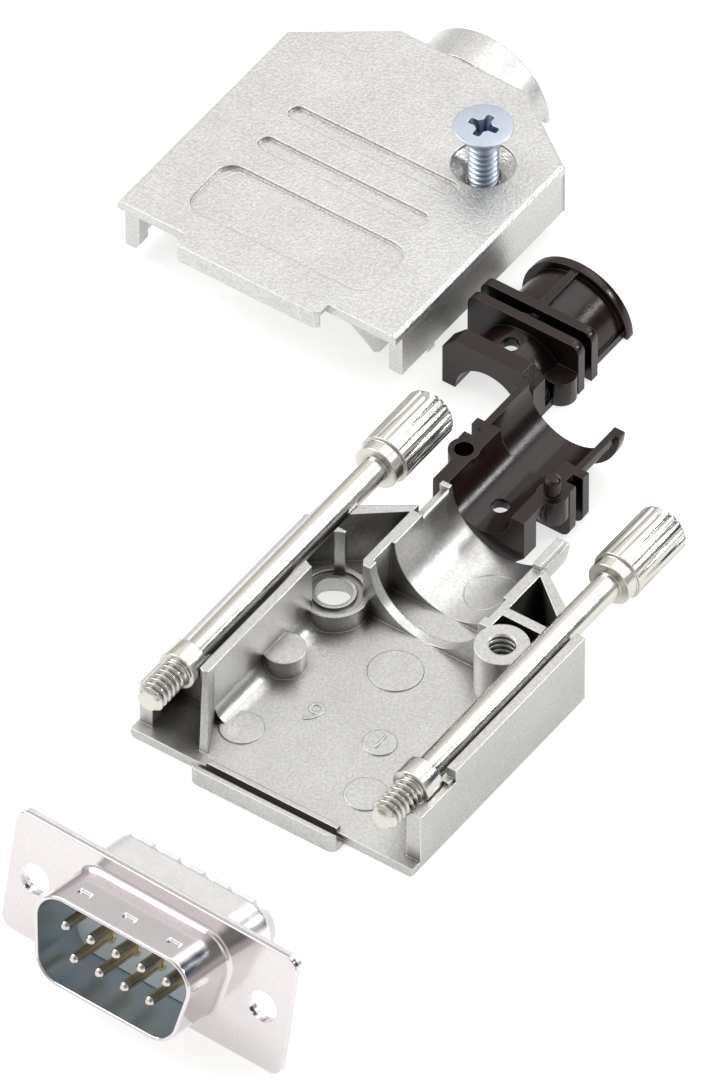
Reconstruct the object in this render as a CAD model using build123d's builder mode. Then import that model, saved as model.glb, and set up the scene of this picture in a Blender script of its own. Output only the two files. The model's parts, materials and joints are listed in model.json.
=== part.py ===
"""Nine-way D-sub connector kit laid out on a table, in millimetres.

A die-cast hood in two like halves, two long jackscrews lying in the lower half, two
countersunk screws, a cable clamp in two halves and a solder-cup plug connector.
+X is to the right, +Y runs from the mating face to the cable outlet, +Z is up. The origin
is the middle of the lower half's front edge, on the table.
"""

from build123d import *
from math import atan2, cos, degrees, radians, sin
import os

os.makedirs("parts", exist_ok=True)

# Connector, by the standard of its shell size
hole_pitch = 24.99
flange_hole = 3.1
hole_to_edge = 2.91
flange_height = 12.55
flange_corner = 1.2
sheet = 0.5
d_width = 17.3
d_height = 8.36
d_slope = 10
d_corner = 2.4
d_depth = 5.8
d_wall = 0.4
root_radius = 0.5
dimple_ball = 0.9
dimple_sink = 0.2
dimple_pitch = 4.9
dimple_back = 3.6
body_width = 19.4
body_height = 10.7
body_corner = 3.0
body_depth = 4.3
insulator_gap = 0.05
insulator_front = 1.0
insulator_joint = 2.0
insulator_rear = 5.4
scallop_radius = 1.25
scallop_depth = 0.9
contact_pitch = 2.77
row_pitch = 2.84
pin_diameter = 1.0
pin_reach = 5.3
pin_point = 0.25
stem_diameter = 1.5
cup_diameter = 1.95
cup_bore = 1.25
cup_length = 2.0
cup_bore_depth = 1.7

# Jackscrews, which share the pitch of the flange holes
thread_diameter = 2.84
thread_tip = -1.15
thread_end = 3.3
collar_diameter = 3.8
collar_length = 2.3
rod_diameter = 2.6
rod_end = 33.8
neck_diameter = 4.4
neck_length = 1.3
head_diameter = 5.0
head_length = 7.6
head_round = 0.5
flute_count = 18
flute_side = 0.5
slot_width = 0.8
slot_depth = 1.1

# Hood halves: one casting, used twice
jack_to_side = 2.605
hood_thickness = 13.7
side_length = 26.4
shoulder_end = 32.3
outlet_end = 36.0
outlet_wall = 1.0
seat_gap = 0.1
plate = 1.0
wall = 0.95
wall_overlap = 1.0
wall_gap = 0.1
front_wall_drop = 0.4
front_wall_length = 6.6
wall_setback = 1.2
left_wall_step = 0.12
front_post = 1.5
front_post_length = 1.4
edge_chamfer = 0.3
tab_half = 7.8
tab_corner = 0.8
lip = 0.5
lip_top = 1.9
ridge = 0.55
ridge_rise = 0.4
flange_gap = 0.1
channel_wall = 0.9
channel_wall_x = 10.05
channel_wall_start = 4.1
channel_wall_gap = 0.2
cove_radius = 1.8
cove_pad_diameter = 4.0
cove_pad_rise = 2.0
cove_pad = (-8.6, 14.2)
buttress_foot = (7.6, 1.2)
cradle_thickness = 1.0
cradle_gap = 0.2
running_gap = 0.05
collar_relief = 0.1
boss_x = 9.0
boss_y = 22.4
boss_diameter = 5.0
tapped_diameter = 2.6
tapped_floor = 0.5
sink_boss_diameter = 6.4
sink_boss_top = 2.9
clear_hole = 3.3
sink_diameter = 5.9
sink_recess = 0.25
sink_ring = (2.05, 2.7)
sink_ring_depth = 0.3
rib_start = 23.4
rib_thickness = 1.0
pocket_length = 2.8
pocket_gap = 0.15
saddle_wall = 0.8
rear_rib_inset = 0.5
tongue_width = 0.8
tongue_rise = 0.8
tongue_start = 31.6
tongue_end = 35.4
tongue_gap = 0.1
mark_rise = 0.12
mark_diameter = 4.0
left_mark = (-7.1, 5.6)
right_mark = (6.5, 5.2)
number_mark_diameter = 3.1
number_mark = (3.9, 11.0)
rear_mark_diameter = 5.0
rear_mark = (0, 19.0)
groove_depth = 0.35
groove_width = 1.8
groove_length = 18.2
groove_ys = (13.5, 18.2)
panel_width = 20.0
panel_length = 7.0
panel_corner = 1.8
panel_y = 6.3

# Hood screws, countersunk
screw_length = 12.7
screw_head_diameter = 5.5
screw_head_edge = 0.25
screw_tip_chamfer = 0.4
cross_width = 0.75
cross_span = 2.9
cross_depth = 1.5
cross_taper = 12

# Cable clamp halves, of one length
clamp_length = 14.5
clamp_reach = 5.7
clamp_bore = 7.0
clamp_block_half = 4.9
clamp_block_length = 1.9
clamp_block_chamfer = 1.3
clamp_tube_radius = 4.6
clamp_flange_half = 6.0
clamp_flange = 0.95
clamp_flange_start = 5.5
clamp_slot = 1.1
clamp_flange_corner = 1.0
barrel_bore_radius = 4.6
barrel_panel_radius = 5.0
barrel_rim = 0.9
barrel_rail = 0.8
barrel_rib = 0.8
drain_diameter = 1.7
drain_y = 3.5
peg_diameter = 1.6
peg_rise = 1.9
peg_y = 4.6
peg_x = 4.75
peg_gap = 0.1
socket_depth = 1.9
ear_diameter = 2.9

# Places on the table
cover_front = (-34.9, 47.3)
clamp_spacing = 0.6
head_spacing = 0.4
cover_spacing = 0.7
connector_foot = (4.2, -24.9)
connector_turn = -2.5
spare_screw_head = (-33.0, -6.0)

flange_width = hole_pitch + 2 * hole_to_edge
hood_width = hole_pitch + 2 * jack_to_side
insulator_width = body_width - 2 * d_wall - 2 * insulator_gap
insulator_height = body_height - 2 * d_wall - 2 * insulator_gap
insulator_corner = body_corner - d_wall - insulator_gap
seat_radius = clamp_reach + seat_gap
outlet_radius = seat_radius + outlet_wall
pocket_half = clamp_flange_half + pocket_gap
saddle_half = pocket_half + saddle_wall
rear_rib_y = side_length - rear_rib_inset
parting = hood_thickness / 2
high_wall = parting + wall_overlap
low_wall = parting - wall_overlap - wall_gap
half_width = hood_width / 2
jack_x = hole_pitch / 2
clamp_half_width = peg_x + ear_diameter / 2
clamp_lower_front = (
    -jack_x + head_diameter / 2 + head_spacing + clamp_half_width,
    outlet_end + clamp_spacing,
)
clamp_upper_front = (
    cover_front[0] + half_width + cover_spacing + clamp_half_width,
    clamp_lower_front[1] + clamp_length + clamp_spacing,
)
collar_end = thread_end + collar_length
cradle_start = collar_end + cradle_gap
channel_wall_end = rear_rib_y - cradle_thickness / 2 - channel_wall_gap
notch_radius = rod_diameter / 2 + running_gap
pocket_start = rib_start + rib_thickness
neck_end = rod_end + neck_length
head_end = neck_end + head_length
thread_radius = thread_diameter / 2


# Hood casting: shell, ribs, saddle for the clamp and half of the cable outlet
with BuildPart() as casting:
    with BuildSketch():
        with BuildLine():
            Polyline(
                (-half_width, 0),
                (half_width, 0),
                (half_width, side_length),
                (outlet_radius, shoulder_end),
                (-outlet_radius, shoulder_end),
                (-half_width, side_length),
                close=True,
            )
        make_face()
    extrude(amount=plate)
    # Every edge of the outer face but the front one is broken
    outer_edges = casting.faces().sort_by(Axis.Z)[0].edges().sort_by(Axis.Y)
    chamfer(outer_edges[1:], edge_chamfer)

    # Shoulder walls up to the parting plane
    with BuildSketch(Plane.XY.offset(plate)):
        for side in (1, -1):
            with BuildLine():
                Polyline(
                    (side * half_width, side_length - wall),
                    (side * half_width, side_length),
                    (side * outlet_radius, shoulder_end),
                    (side * outlet_radius, shoulder_end - wall),
                    (side * (half_width - wall), side_length - wall),
                    close=True,
                )
            make_face()
    extrude(amount=parting - plate)

    # Side walls: the right one high, the left one low, so that two halves overlap
    with BuildSketch(Plane.XY.offset(plate)):
        with Locations((half_width - wall / 2, (wall_setback + side_length) / 2)):
            Rectangle(wall, side_length - wall_setback)
    extrude(amount=high_wall - plate)
    with BuildSketch(Plane.XY.offset(plate)):
        with Locations((-half_width + wall / 2, (wall_setback + side_length) / 2)):
            Rectangle(wall, side_length - wall_setback)
    extrude(amount=low_wall - plate)
    # Their front ends are thicker, and the left wall stands a little in from the plate
    for side, height in ((1, parting), (-1, low_wall)):
        with BuildSketch(Plane.XY.offset(plate)):
            with Locations((side * (half_width - front_post / 2), wall_setback + front_post_length / 2)):
                Rectangle(front_post, front_post_length)
        extrude(amount=height - plate)
    with BuildSketch(Plane.XY.offset(plate)):
        with Locations((-half_width + left_wall_step / 2, side_length / 2)):
            Rectangle(left_wall_step, side_length)
    extrude(amount=high_wall - plate, mode=Mode.SUBTRACT)
    with BuildSketch(Plane.XY.offset(parting - front_wall_drop)):
        with Locations((half_width - front_post / 2, front_wall_length / 2)):
            Rectangle(front_post, front_wall_length)
    extrude(amount=wall_overlap + front_wall_drop, mode=Mode.SUBTRACT)
    # The other half's high wall passes outside this end of the left shoulder
    with BuildSketch(Plane.XY.offset(low_wall)):
        with Locations((-half_width + wall / 2, side_length / 2)):
            Rectangle(wall + 2 * wall_gap, side_length + 2 * wall)
    extrude(amount=high_wall - low_wall, mode=Mode.SUBTRACT)

    # Saddle: a rib, a pocket for the clamp's flange and a half-round seat
    with BuildSketch(Plane.XY.offset(plate)):
        with Locations((0, (rib_start + shoulder_end) / 2)):
            Rectangle(2 * saddle_half, shoulder_end - rib_start)
    extrude(amount=parting - plate)
    with BuildSketch(Plane.XZ.offset(-shoulder_end)):
        with Locations((0, parting)):
            Circle(outlet_radius)
    extrude(amount=-(outlet_end - shoulder_end))
    with BuildSketch(Plane.XZ.offset(-rib_start)):
        with Locations((0, parting)):
            Circle(seat_radius)
    extrude(amount=-(outlet_end - rib_start), mode=Mode.SUBTRACT)
    with BuildSketch(Plane.XY.offset(plate)):
        with Locations((0, pocket_start + pocket_length / 2)):
            Rectangle(2 * pocket_half, pocket_length)
    extrude(amount=parting - plate, mode=Mode.SUBTRACT)
    with BuildSketch(Plane.XY.offset(parting)):
        with Locations((0, (shoulder_end + outlet_end) / 2)):
            Rectangle(2 * half_width, outlet_end - shoulder_end + wall)
    extrude(amount=outlet_radius, mode=Mode.SUBTRACT)

    # Tongue on the right rim of the outlet, its notch on the left
    tongue_middle = ((seat_radius + outlet_radius) / 2, (tongue_start + tongue_end) / 2)
    with BuildSketch(Plane.XY.offset(parting - tongue_rise)):
        with Locations((-tongue_middle[0], tongue_middle[1])):
            Rectangle(tongue_width + 2 * tongue_gap, tongue_end - tongue_start + 2 * tongue_gap)
    extrude(amount=2 * tongue_rise, mode=Mode.SUBTRACT)
    with BuildSketch(Plane.XY.offset(parting - tongue_rise)):
        with Locations(tongue_middle):
            Rectangle(tongue_width, tongue_end - tongue_start)
    extrude(amount=2 * tongue_rise - tongue_gap)

    # Inner wall of the left jackscrew channel, with room for the other half's tapped boss
    with BuildSketch(Plane.XY.offset(plate)):
        with Locations((-channel_wall_x, (channel_wall_start + channel_wall_end) / 2)):
            Rectangle(channel_wall, channel_wall_end - channel_wall_start)
    extrude(amount=high_wall - plate)
    with BuildSketch(Plane.XY.offset(sink_boss_top)):
        with Locations((-boss_x, boss_y)):
            Circle(boss_diameter / 2 + wall_gap)
    extrude(amount=high_wall - sink_boss_top, mode=Mode.SUBTRACT)

    # Cove along that wall's foot, with a round ejector pad, into the countersunk boss
    wall_left = -channel_wall_x - channel_wall / 2
    wall_right = -channel_wall_x + channel_wall / 2
    with BuildSketch(Plane.XZ.offset(-(channel_wall_start + wall))):
        with Locations((wall_right + cove_radius / 2, plate + cove_radius / 2)):
            Rectangle(cove_radius, cove_radius)
        with Locations((wall_right + cove_radius, plate + cove_radius)):
            Circle(cove_radius, mode=Mode.SUBTRACT)
    extrude(amount=-(boss_y - clear_hole - channel_wall_start))
    with BuildSketch(Plane.XY.offset(plate)):
        with Locations(cove_pad):
            Circle(cove_pad_diameter / 2)
    extrude(amount=cove_pad_rise)

    # Buttress: it slopes from that wall's front end down to the tab's corner
    with BuildSketch(Plane.XY.offset(plate)):
        with BuildLine():
            Polyline(
                (wall_left, channel_wall_start + wall),
                (wall_left, channel_wall_start),
                (-buttress_foot[0] - wall, buttress_foot[1]),
                (-buttress_foot[0], buttress_foot[1]),
                (wall_right, channel_wall_start + wall),
                close=True,
            )
        make_face()
    with BuildSketch(Plane.XY.offset(high_wall)):
        with BuildLine():
            Polyline(
                (wall_left, channel_wall_start + wall),
                (wall_left, channel_wall_start),
                (wall_right - channel_wall / 2, channel_wall_start - channel_wall / 4),
                (wall_right, channel_wall_start),
                (wall_right, channel_wall_start + wall),
                close=True,
            )
        make_face()
    loft(ruled=True)

    # Cradles for the jackscrews: behind each collar, and at the back
    with BuildSketch(Plane.XY.offset(plate)):
        with Locations((-(half_width + channel_wall_x) / 2, cradle_start + cradle_thickness / 2)):
            Rectangle(half_width - channel_wall_x - wall, cradle_thickness)
        with Locations((half_width - (half_width - channel_wall_x) / 2, cradle_start + cradle_thickness / 2)):
            Rectangle(half_width - channel_wall_x - wall / 2, cradle_thickness)
        with Locations(((saddle_half + half_width) / 2 - wall / 2, rear_rib_y)):
            Rectangle(half_width - saddle_half, cradle_thickness)
    extrude(amount=parting - plate)
    # Tapped boss on the right, countersunk boss on the left
    with BuildSketch(Plane.XY.offset(plate)):
        with Locations((boss_x, boss_y)):
            Circle(boss_diameter / 2)
    extrude(amount=parting - plate)
    with BuildSketch(Plane.XY.offset(tapped_floor)):
        with Locations((boss_x, boss_y)):
            Circle(tapped_diameter / 2)
    extrude(amount=parting - tapped_floor, mode=Mode.SUBTRACT)
    with BuildSketch(Plane.XY.offset(plate)):
        with Locations((-boss_x, boss_y)):
            Circle(sink_boss_diameter / 2)
    extrude(amount=sink_boss_top - plate)
    with BuildSketch(Plane.XY.offset(sink_boss_top)):
        with Locations((-boss_x, boss_y)):
            Circle(sink_ring[1])
            Circle(sink_ring[0], mode=Mode.SUBTRACT)
    extrude(amount=-sink_ring_depth, mode=Mode.SUBTRACT)
    with BuildSketch():
        with Locations((-boss_x, boss_y)):
            Circle(clear_hole / 2)
    extrude(amount=sink_boss_top, mode=Mode.SUBTRACT)
    with BuildSketch():
        with Locations((-boss_x, boss_y)):
            Circle(sink_diameter / 2)
    extrude(amount=sink_recess, mode=Mode.SUBTRACT)
    sink_cone = (sink_diameter - clear_hole) / 2
    with BuildSketch(Plane.XY.offset(sink_recess)):
        with Locations((-boss_x, boss_y)):
            Circle(sink_diameter / 2)
    extrude(amount=sink_cone, taper=45 - 0.01, mode=Mode.SUBTRACT)

    # Round notches for the rods and collars, with their running gaps
    with BuildSketch(Plane.XZ):
        for side in (1, -1):
            with Locations((side * jack_x, parting)):
                Circle(notch_radius)
            with Locations((side * jack_x, parting + wall_overlap)):
                Rectangle(2 * notch_radius, 2 * wall_overlap)
    extrude(amount=-shoulder_end, mode=Mode.SUBTRACT)
    with BuildSketch(Plane.XZ):
        for side in (1, -1):
            with Locations((side * jack_x, parting)):
                Circle(thread_radius + running_gap)
    extrude(amount=-thread_end, mode=Mode.SUBTRACT)
    with BuildSketch(Plane.XZ.offset(collar_relief - thread_end)):
        for side in (1, -1):
            with Locations((side * jack_x, parting)):
                Circle(collar_diameter / 2 + collar_relief)
            with Locations((side * jack_x, parting + wall_overlap)):
                Rectangle(collar_diameter + 2 * collar_relief, 2 * wall_overlap)
    extrude(amount=-(cradle_start - thread_end + collar_relief), mode=Mode.SUBTRACT)

    # Front tab, with the slot that takes the connector's flange
    flange_slot = 2 * sheet + flange_gap
    with BuildSketch() as tab_outline:
        with Locations((0, -(flange_slot + lip) / 2)):
            Rectangle(2 * tab_half, flange_slot + lip)
        fillet(tab_outline.vertices().group_by(Axis.Y)[0], tab_corner)
    extrude(amount=lip_top)
    with BuildSketch(Plane.XY.offset((hood_thickness - flange_height) / 2 - flange_gap)):
        with Locations((0, -flange_slot / 2)):
            Rectangle(2 * half_width, flange_slot)
    extrude(amount=lip_top, mode=Mode.SUBTRACT)
    with BuildSketch(Plane.XY.offset(plate)):
        with Locations((0, ridge / 2)):
            Rectangle(2 * tab_half - 2 * tab_corner, ridge)
    extrude(amount=ridge_rise)

    # Ejector marks on the floor
    with BuildSketch(Plane.XY.offset(plate)):
        with Locations(left_mark, right_mark):
            Circle(mark_diameter / 2)
        with Locations(number_mark):
            Circle(number_mark_diameter / 2)
        with Locations(rear_mark):
            Circle(rear_mark_diameter / 2)
    extrude(amount=mark_rise)

    # Grip grooves and label panel in the outer face
    with BuildSketch():
        for y in groove_ys:
            with Locations((0, y)):
                SlotOverall(groove_length, groove_width)
        with Locations((0, panel_y)):
            RectangleRounded(panel_width, panel_length, panel_corner)
    extrude(amount=groove_depth, mode=Mode.SUBTRACT)

# Lower half: the casting as it stands
with BuildPart() as lower_shell:
    add(casting.part)
lower_shell.part.label = "lower_shell"
export_step(lower_shell.part, "parts/lower_shell.step")

# Upper half: the same casting turned over, rim down on the table
cover_place = Location((*cover_front, high_wall), (0, 180, 0))
with BuildPart() as upper_shell:
    with Locations(cover_place):
        add(casting.part)
upper_shell.part.label = "upper_shell"
export_step(upper_shell.part, "parts/upper_shell.step")


# Jackscrews: turned rods with a fluted head, one in each channel
for side, name in ((-1, "left_jackscrew"), (1, "right_jackscrew")):
    axis_start = (side * jack_x, 0, parting)
    with BuildPart() as jackscrew:
        with BuildSketch(Plane(origin=axis_start, x_dir=(0, 1, 0), z_dir=(1, 0, 0))):
            with BuildLine():
                Polyline(
                    (thread_tip, 0),
                    (thread_tip, thread_radius - screw_tip_chamfer),
                    (thread_tip + screw_tip_chamfer, thread_radius),
                    (thread_end, thread_radius),
                    (thread_end, collar_diameter / 2),
                    (collar_end, collar_diameter / 2),
                    (collar_end, rod_diameter / 2),
                    (rod_end, rod_diameter / 2),
                    (rod_end, neck_diameter / 2),
                    (neck_end, neck_diameter / 2),
                    (neck_end, head_diameter / 2),
                    (head_end - head_round, head_diameter / 2),
                    (head_end, head_diameter / 2 - head_round),
                    (head_end, 0),
                    close=True,
                )
            make_face()
        revolve(axis=Axis(axis_start, (0, 1, 0)))
        head_plane = Plane(origin=(side * jack_x, neck_end, parting), x_dir=(1, 0, 0), z_dir=(0, 1, 0))
        with BuildSketch(head_plane):
            with PolarLocations(head_diameter / 2, flute_count):
                Rectangle(flute_side, flute_side, rotation=45)
        extrude(amount=head_length, mode=Mode.SUBTRACT)
        with BuildSketch(head_plane.offset(head_length)):
            Rectangle(slot_width, head_diameter)
        extrude(amount=-slot_depth, mode=Mode.SUBTRACT)
    jackscrew.part.label = name
    export_step(jackscrew.part, f"parts/{name}.step")


# Hood screws: one stands in the cover's hole with its tip on the table, one lies
screw_lean = degrees(atan2((screw_head_diameter - thread_diameter) / 2, screw_length - screw_head_edge))
lying = radians(screw_lean)
standing_plane = Plane(
    origin=(cover_front[0] + boss_x, cover_front[1] + boss_y, screw_length),
    z_dir=(0, 0, 1),
)
lying_plane = Plane(
    origin=(*spare_screw_head, screw_head_diameter / 2 * cos(lying)),
    x_dir=(1, 0, 0),
    z_dir=(0, cos(lying), sin(lying)),
)
for plane, name in ((standing_plane, "cover_screw"), (lying_plane, "second_cover_screw")):
    head_cone = (screw_head_diameter - thread_diameter) / 2
    profile_plane = Plane(origin=plane.origin, x_dir=plane.x_dir, z_dir=plane.y_dir)
    with BuildPart() as hood_screw:
        with BuildSketch(profile_plane):
            with BuildLine():
                Polyline(
                    (0, 0),
                    (screw_head_diameter / 2, 0),
                    (screw_head_diameter / 2, screw_head_edge),
                    (thread_radius, screw_head_edge + head_cone),
                    (thread_radius, screw_length - screw_tip_chamfer),
                    (thread_radius - screw_tip_chamfer, screw_length),
                    (0, screw_length),
                    close=True,
                )
            make_face()
        revolve(axis=Axis(plane.origin, plane.z_dir))
        with BuildSketch(plane):
            Rectangle(cross_span, cross_width)
            Rectangle(cross_width, cross_span)
        extrude(amount=-cross_depth, taper=cross_taper, mode=Mode.SUBTRACT)
    hood_screw.part.label = name
    export_step(hood_screw.part, f"parts/{name}.step")


# Cable clamp halves: a block at the front, a flange pair and a half barrel
barrel_start = clamp_flange_start + 2 * clamp_flange + clamp_slot
with BuildPart() as clamp_half:
    front_plane = Plane.XZ
    with BuildSketch(front_plane):
        with Locations((0, clamp_reach / 2)):
            Rectangle(2 * clamp_block_half, clamp_reach)
    extrude(amount=-clamp_block_length)
    chamfer(clamp_half.edges().filter_by(Axis.Y).group_by(Axis.Z)[-1], clamp_block_chamfer)
    with BuildSketch(front_plane):
        Circle(clamp_tube_radius)
    extrude(amount=-barrel_start)
    for flange_y in (clamp_flange_start, clamp_flange_start + clamp_flange + clamp_slot):
        with BuildSketch(front_plane.offset(-flange_y)) as clamp_flange_face:
            with Locations((0, clamp_reach / 2)):
                Rectangle(2 * clamp_flange_half, clamp_reach)
            fillet(clamp_flange_face.vertices().group_by(Axis.Y)[-1], clamp_flange_corner)
        extrude(amount=-clamp_flange)
    # Web that joins the two flanges in the middle of their slot
    with BuildSketch(Plane.XY.offset(clamp_tube_radius - barrel_rib)):
        with Locations((0, clamp_flange_start + clamp_flange + clamp_slot / 2)):
            Rectangle(barrel_rib, clamp_slot)
    extrude(amount=clamp_reach - clamp_tube_radius)
    # Barrel: thin panels between a rim, a middle rib and the rails along the parting plane
    with BuildSketch(front_plane.offset(-barrel_start)):
        Circle(barrel_panel_radius)
    extrude(amount=-(clamp_length - barrel_start))
    with BuildSketch(front_plane.offset(-(clamp_length - barrel_rim))):
        Circle(clamp_reach)
    extrude(amount=-barrel_rim)
    with BuildSketch(Plane.XY):
        with Locations((0, (barrel_start + clamp_length) / 2)):
            Rectangle(barrel_rib, clamp_length - barrel_start)
    extrude(amount=clamp_reach - (clamp_reach - barrel_panel_radius) / 3)
    with BuildSketch(Plane.XY):
        with Locations((0, (barrel_start + clamp_length) / 2)):
            Rectangle(2 * clamp_reach - barrel_rim, clamp_length - barrel_start)
    extrude(amount=barrel_rail)
    # Rails beside the bore, between the block and the flanges
    with BuildSketch(Plane.XY):
        with Locations((0, barrel_start / 2)):
            Rectangle(2 * clamp_block_half, barrel_start)
    extrude(amount=barrel_rail)
    # Bore, wider in the barrel, and the lower halves of all round forms cut away
    with BuildSketch(front_plane):
        Circle(clamp_bore / 2)
    extrude(amount=-clamp_length, mode=Mode.SUBTRACT)
    with BuildSketch(front_plane.offset(-barrel_start)):
        Circle(barrel_bore_radius)
    extrude(amount=-(clamp_length - barrel_start), mode=Mode.SUBTRACT)
    with BuildSketch(Plane.XY):
        with Locations((0, clamp_length / 2)):
            Rectangle(3 * clamp_reach, 2 * clamp_length)
    extrude(amount=-2 * clamp_reach, mode=Mode.SUBTRACT)
    with BuildSketch(Plane.XY):
        with Locations((0, drain_y)):
            Circle(drain_diameter / 2)
    extrude(amount=2 * clamp_reach, mode=Mode.SUBTRACT)

# Upper clamp half: rails down on the table, sockets for the pegs
with BuildPart() as clamp_upper_half:
    with Locations(Location((*clamp_upper_front, 0))):
        add(clamp_half.part)
    with BuildSketch(Plane.XY):
        with Locations((clamp_upper_front[0] + peg_x, clamp_upper_front[1] + peg_y)):
            Circle(ear_diameter / 2)
    extrude(amount=socket_depth + barrel_rail)
    with BuildSketch(Plane.XY):
        with Locations((clamp_upper_front[0] + peg_x, clamp_upper_front[1] + peg_y)):
            Circle(peg_diameter / 2 + peg_gap)
    extrude(amount=socket_depth + peg_gap, mode=Mode.SUBTRACT)
clamp_upper_half.part.label = "clamp_upper_half"
export_step(clamp_upper_half.part, "parts/clamp_upper_half.step")

# Lower clamp half: turned over, on its flat side, with the peg on its right rail
lower_clamp_place = Location((*clamp_lower_front, clamp_reach), (0, 180, 0))
with BuildPart() as clamp_lower_half:
    with Locations(lower_clamp_place):
        add(clamp_half.part)
    for side in (1, -1):
        with BuildSketch(Plane.XY.offset(clamp_reach)):
            with Locations((clamp_lower_front[0] + side * peg_x, clamp_lower_front[1] + peg_y)):
                Circle(ear_diameter / 2)
        extrude(amount=-(socket_depth + barrel_rail))
    with BuildSketch(Plane.XY.offset(clamp_reach)):
        with Locations((clamp_lower_front[0] - peg_x, clamp_lower_front[1] + peg_y)):
            Circle(peg_diameter / 2 + peg_gap)
    extrude(amount=-(socket_depth + peg_gap), mode=Mode.SUBTRACT)
    with BuildSketch(Plane.XY.offset(clamp_reach)):
        with Locations((clamp_lower_front[0] + peg_x, clamp_lower_front[1] + peg_y)):
            Circle(peg_diameter / 2)
    extrude(amount=peg_rise)
    chamfer(clamp_lower_half.edges().filter_by(GeomType.CIRCLE).sort_by(Axis.Z)[-1], peg_diameter / 6)
clamp_lower_half.part.label = "clamp_lower_half"
export_step(clamp_lower_half.part, "parts/clamp_lower_half.step")


# Connector: it leans back on its flange's lower edge and on the rear shell's back edge, and is
# turned a little against the hood
lean = atan2((flange_height - body_height) / 2, body_depth)
mating = Vector(0, -cos(lean), sin(lean)).rotate(Axis.Z, connector_turn)
upward = Vector(0, sin(lean), cos(lean)).rotate(Axis.Z, connector_turn)
flange_plane = Plane(
    origin=Vector(*connector_foot, 0) + upward * (flange_height / 2),
    x_dir=Vector(1, 0, 0).rotate(Axis.Z, connector_turn),
    z_dir=mating,
)


def flange_sheet():
    """Sketches the flange's outline with its two holes."""
    RectangleRounded(flange_width, flange_height, flange_corner)
    with Locations((-hole_pitch / 2, 0), (hole_pitch / 2, 0)):
        Circle(flange_hole / 2, mode=Mode.SUBTRACT)


def d_outline(width, height, corner, mode=Mode.ADD):
    """Sketches the D: long side on top, both ends sloped, round corners."""
    with BuildSketch(mode=Mode.PRIVATE) as outline:
        Trapezoid(width, height, 90 - d_slope, rotation=180)
        fillet(outline.vertices(), corner)
    add(outline.sketch, mode=mode)


# Front shell: flange and the drawn D that goes into the socket
with BuildPart() as connector_front_shell:
    with BuildSketch(flange_plane.offset(sheet)):
        flange_sheet()
    extrude(amount=sheet)
    with BuildSketch(flange_plane.offset(sheet)):
        d_outline(d_width + 2 * d_wall, d_height + 2 * d_wall, d_corner + d_wall)
    extrude(amount=sheet + d_depth)
    flange_front = 2 * sheet
    root_edges = connector_front_shell.edges().filter_by(
        lambda edge: abs(flange_plane.to_local_coords(edge.center()).Z - flange_front) < 0.01
        and abs(flange_plane.to_local_coords(edge.center()).X) < hole_pitch / 2 - flange_hole
        and abs(flange_plane.to_local_coords(edge.center()).Y) < flange_height / 2 - sheet
    )
    fillet(root_edges, root_radius)
    with BuildSketch(flange_plane.offset(sheet)):
        d_outline(d_width, d_height, d_corner)
    extrude(amount=sheet + d_depth, mode=Mode.SUBTRACT)
    # Grounding dimples pressed into the D from outside
    dimple_reach = d_height / 2 + d_wall - dimple_sink + dimple_ball
    for x in (-dimple_pitch, 0, dimple_pitch):
        with Locations(flange_plane.from_local_coords((x, dimple_reach, flange_front + dimple_back))):
            Sphere(dimple_ball, mode=Mode.SUBTRACT)
connector_front_shell.part.label = "connector_front_shell"
export_step(connector_front_shell.part, "parts/connector_front_shell.step")

# Rear shell: the second flange sheet and the shallow can round the insulators
with BuildPart() as connector_rear_shell:
    with BuildSketch(flange_plane):
        flange_sheet()
    extrude(amount=sheet)
    with BuildSketch(flange_plane.offset(sheet)):
        d_outline(body_width, body_height, body_corner)
    extrude(amount=-(sheet + body_depth))
    with BuildSketch(flange_plane.offset(sheet)):
        d_outline(body_width - 2 * d_wall, body_height - 2 * d_wall, body_corner - d_wall)
    extrude(amount=-(sheet + body_depth), mode=Mode.SUBTRACT)
connector_rear_shell.part.label = "connector_rear_shell"
export_step(connector_rear_shell.part, "parts/connector_rear_shell.step")

# Contacts stand in two rows, five above four
contact_spots = []
for row_z, count in ((row_pitch / 2, 5), (-row_pitch / 2, 4)):
    for place in range(count):
        contact_spots.append(((place - (count - 1) / 2) * contact_pitch, row_z))

# Front insulator: fills the D behind the mating space and is held under the flange
with BuildPart() as front_insulator:
    with BuildSketch(flange_plane.offset(sheet)):
        d_outline(d_width - flange_gap, d_height - flange_gap, d_corner)
    extrude(amount=insulator_front - sheet)
    with BuildSketch(flange_plane.offset(sheet)):
        d_outline(insulator_width, insulator_height, insulator_corner)
    extrude(amount=-(sheet + insulator_joint))
    with BuildSketch(flange_plane.offset(insulator_front)):
        with Locations(*contact_spots):
            Circle(stem_diameter / 2)
    extrude(amount=-(insulator_front + insulator_joint), mode=Mode.SUBTRACT)
front_insulator.part.label = "front_insulator"
export_step(front_insulator.part, "parts/front_insulator.step")

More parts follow.
